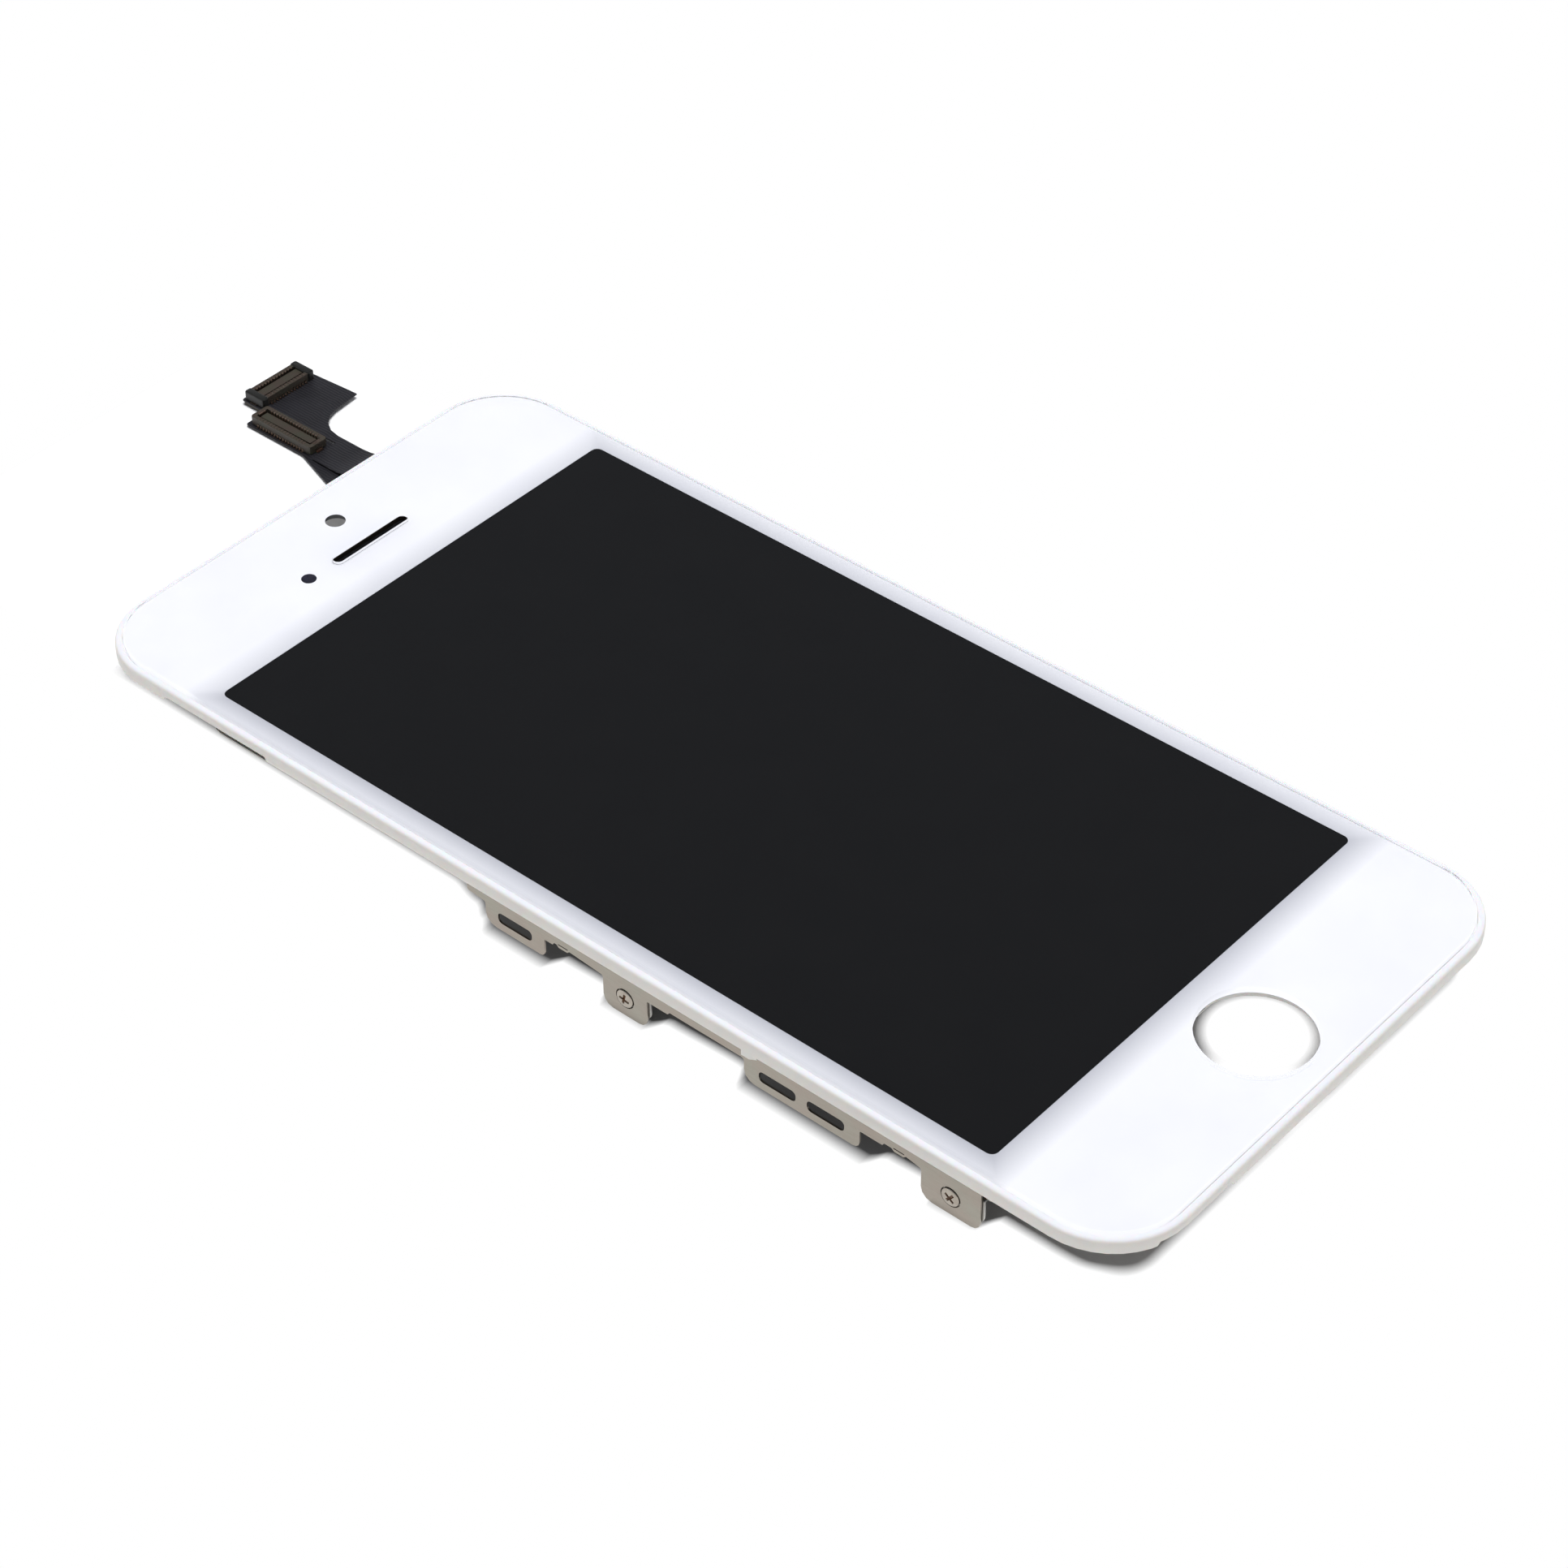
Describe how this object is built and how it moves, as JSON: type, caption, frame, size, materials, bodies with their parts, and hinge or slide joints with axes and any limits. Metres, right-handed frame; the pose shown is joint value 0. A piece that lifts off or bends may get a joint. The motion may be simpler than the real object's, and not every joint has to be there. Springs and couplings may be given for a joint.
{
  "type": "phone lcd screen assembly",
  "caption": "White phone screen assembly: cover glass, moulded rim, LCD cell and backlight, folded side brackets with screw and latch tabs, and two flexible circuits with board connectors.",
  "frame": {"origin": "front face of the cover glass, at the centre of the display window", "axes": "+X to the right seen from the front, +Y towards the earpiece and the flexible circuits, +Z out of the glass"},
  "size_m": [0.056, 0.1431, 0.0063],
  "materials": {
    "cover_glass": "clear, polished",
    "white_print": "white ink",
    "clear_film": "clear film",
    "dark_polarizer": "dark, glossy",
    "cell_glass": "thin glass",
    "silicon": "polished",
    "white_film": "white, satin",
    "light_guide": "clear",
    "led_body": "yellow phosphor in a white body",
    "tray_plastic": "white",
    "rim_plastic": "white, satin",
    "nickel_steel": "nickel plated, satin",
    "shield_steel": "satin",
    "screw_steel": "nickel plated",
    "insert_brass": "turned",
    "black_flex": "black coverlay",
    "stiffener": "dark laminate",
    "connector_plastic": "brownish black",
    "black_mesh": "fine mesh",
    "holder_plastic": "grey",
    "sensor_film": "dark, glossy",
    "adhesive": "clear, soft"
  },
  "bodies": {
    "root": {"array_glass": "cell_glass", "backlight_can": "shield_steel", "backlight_frame": "tray_plastic", "bezel_frame": "rim_plastic", "border_print": "white_print", "brass_insert_1": "insert_brass", "brass_insert_2": "insert_brass", "brass_insert_3": "insert_brass", "brass_insert_4": "insert_brass", "camera_holder": "holder_plastic", "colour_filter_glass": "cell_glass", "cover_glass": "cover_glass", "diffuser_film": "white_film", "display_connector": "connector_plastic", "display_flex": "black_flex", "display_stiffener": "stiffener", "driver_chip": "silicon", "earpiece_mesh": "black_mesh", "front_polarizer": "dark_polarizer", "led_1": "led_body", "led_2": "led_body", "led_3": "led_body", "led_4": "led_body", "led_5": "led_body", "led_6": "led_body", "led_flex": "black_flex", "left_lower_screw": "screw_steel", "left_lower_thread_boss": "screw_steel", "left_side_bracket": "nickel_steel", "left_upper_screw": "screw_steel", "left_upper_thread_boss": "screw_steel", "light_guide": "light_guide", "lower_prism_film": "clear_film", "optical_adhesive": "adhesive", "rear_polarizer": "dark_polarizer", "reflector_film": "white_film", "right_lower_screw": "screw_steel", "right_lower_thread_boss": "screw_steel", "right_side_bracket": "nickel_steel", "right_upper_screw": "screw_steel", "right_upper_thread_boss": "screw_steel", "rim_adhesive": "adhesive", "sensor_holder": "holder_plastic", "sensor_window": "sensor_film", "shield_plate": "shield_steel", "touch_connector": "connector_plastic", "touch_flex": "black_flex", "touch_sensor": "clear_film", "touch_stiffener": "stiffener", "upper_prism_film": "clear_film"}
  },
  "joints": []
}
